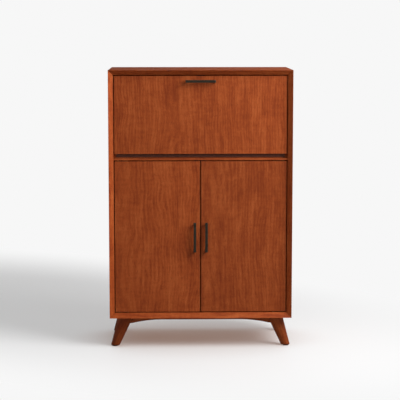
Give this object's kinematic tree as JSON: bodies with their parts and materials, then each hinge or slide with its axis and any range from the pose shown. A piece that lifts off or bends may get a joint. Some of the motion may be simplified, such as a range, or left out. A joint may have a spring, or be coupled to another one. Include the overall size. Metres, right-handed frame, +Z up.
{
  "type": "bar cabinet",
  "caption": "Upright bar cabinet on splayed round legs, with a flap that folds down into a shelf and a cupboard with doors below.",
  "frame": {"origin": "on the floor, under the middle of the case's width and depth", "axes": "+X to the right seen from the front, +Y towards the back, +Z up; the flap and doors face -Y"},
  "size_m": [0.914, 0.457, 1.397],
  "materials": {
    "case_wood": "satin walnut-coloured stain",
    "front_veneer": "satin stained veneer, vertical grain",
    "inside_wood": "satin stained veneer",
    "back_veneer": "plain stained veneer",
    "leg_stain": "satin dark stain",
    "dark_bronze": "dark bronze",
    "antique_brass": "antique",
    "zinc_steel": "zinc plated",
    "black_nylon": "matte"
  },
  "bodies": {
    "root": {"back_apron": "leg_stain", "back_panel": "back_veneer", "bar_floor": "inside_wood", "bottle_body_rail_1": "inside_wood", "bottle_body_rail_2": "inside_wood", "bottle_neck_rail_1": "inside_wood", "bottle_neck_rail_2": "inside_wood", "bottom_board": "case_wood", "center_partition": "inside_wood", "divider_rail": "case_wood", "door_catch": "black_nylon", "flap_catch": "black_nylon", "flap_hinge_case_leaf": "dark_bronze", "flap_hinge_pin": "dark_bronze", "front_apron": "leg_stain", "glide_back_left": "black_nylon", "glide_back_right": "black_nylon", "glide_front_left": "black_nylon", "glide_front_right": "black_nylon", "left_hinge_bottom_case_leaf": "antique_brass", "left_hinge_top_case_leaf": "antique_brass", "left_side": "case_wood", "leg_back_left": "leg_stain", "leg_back_right": "leg_stain", "leg_front_left": "leg_stain", "leg_front_right": "leg_stain", "lower_shelf": "inside_wood", "right_hinge_bottom_case_leaf": "antique_brass", "right_hinge_top_case_leaf": "antique_brass", "right_side": "case_wood", "shelf_pin_left_back": "antique_brass", "shelf_pin_left_front": "antique_brass", "shelf_pin_right_back": "antique_brass", "shelf_pin_right_front": "antique_brass", "stay_plate_left": "antique_brass", "stay_plate_right": "antique_brass", "stemware_rail_left": "inside_wood", "stemware_rail_middle": "inside_wood", "stemware_rail_right": "inside_wood", "top_board": "case_wood"},
    "flap": {"flap_bracket_left": "antique_brass", "flap_bracket_right": "antique_brass", "flap_hinge_flap_leaf": "dark_bronze", "flap_panel": "front_veneer", "flap_pull": "dark_bronze", "flap_strike": "zinc_steel"},
    "stay_guide_left": {"stay_guide_left": "antique_brass"},
    "stay_guide_right": {"stay_guide_right": "antique_brass"},
    "stay_arm_left": {"stay_arm_left": "antique_brass"},
    "stay_arm_right": {"stay_arm_right": "antique_brass"},
    "left_door": {"left_door": "front_veneer", "left_door_pull": "dark_bronze", "left_door_strike": "zinc_steel", "left_hinge_bottom_door_leaf": "antique_brass", "left_hinge_top_door_leaf": "antique_brass"},
    "right_door": {"right_door": "front_veneer", "right_door_pull": "dark_bronze", "right_door_strike": "zinc_steel", "right_hinge_bottom_door_leaf": "antique_brass", "right_hinge_top_door_leaf": "antique_brass"}
  },
  "joints": [
    {"name": "flap_fold", "type": "hinge", "parent": "root", "child": "flap", "pos_m": [0, -0.1825, 0.979], "axis": [1, 0, 0], "range_deg": [0, 90]},
    {"name": "stay_guide_left_swivel", "type": "hinge", "parent": "root", "child": "stay_guide_left", "pos_m": [-0.4204, -0.12094, 1.14814], "axis": [1, 0, 0], "range_deg": [0, 45]},
    {"name": "stay_arm_left_pivot", "type": "hinge", "parent": "flap", "child": "stay_arm_left", "pos_m": [-0.4204, -0.1705, 1.1586], "axis": [1, 0, 0], "range_deg": [-45, 0]},
    {"name": "stay_guide_right_swivel", "type": "hinge", "parent": "root", "child": "stay_guide_right", "pos_m": [0.4204, -0.12094, 1.14814], "axis": [1, 0, 0], "range_deg": [0, 45]},
    {"name": "stay_arm_right_pivot", "type": "hinge", "parent": "flap", "child": "stay_arm_right", "pos_m": [0.4204, -0.1705, 1.1586], "axis": [1, 0, 0], "range_deg": [-45, 0]},
    {"name": "left_door_swing", "type": "hinge", "parent": "root", "child": "left_door", "pos_m": [-0.411, -0.192, 0.182], "axis": [0, 0, -1], "range_deg": [0, 110]},
    {"name": "right_door_swing", "type": "hinge", "parent": "root", "child": "right_door", "pos_m": [0.411, -0.192, 0.182], "axis": [0, 0, 1], "range_deg": [0, 110]}
  ],
  "couplings": [
    {"joint": "stay_guide_left_swivel", "follows": "flap_fold", "ratio": 0.5},
    {"joint": "stay_arm_left_pivot", "follows": "flap_fold", "ratio": -0.5},
    {"joint": "stay_guide_right_swivel", "follows": "flap_fold", "ratio": 0.5},
    {"joint": "stay_arm_right_pivot", "follows": "flap_fold", "ratio": -0.5}
  ]
}
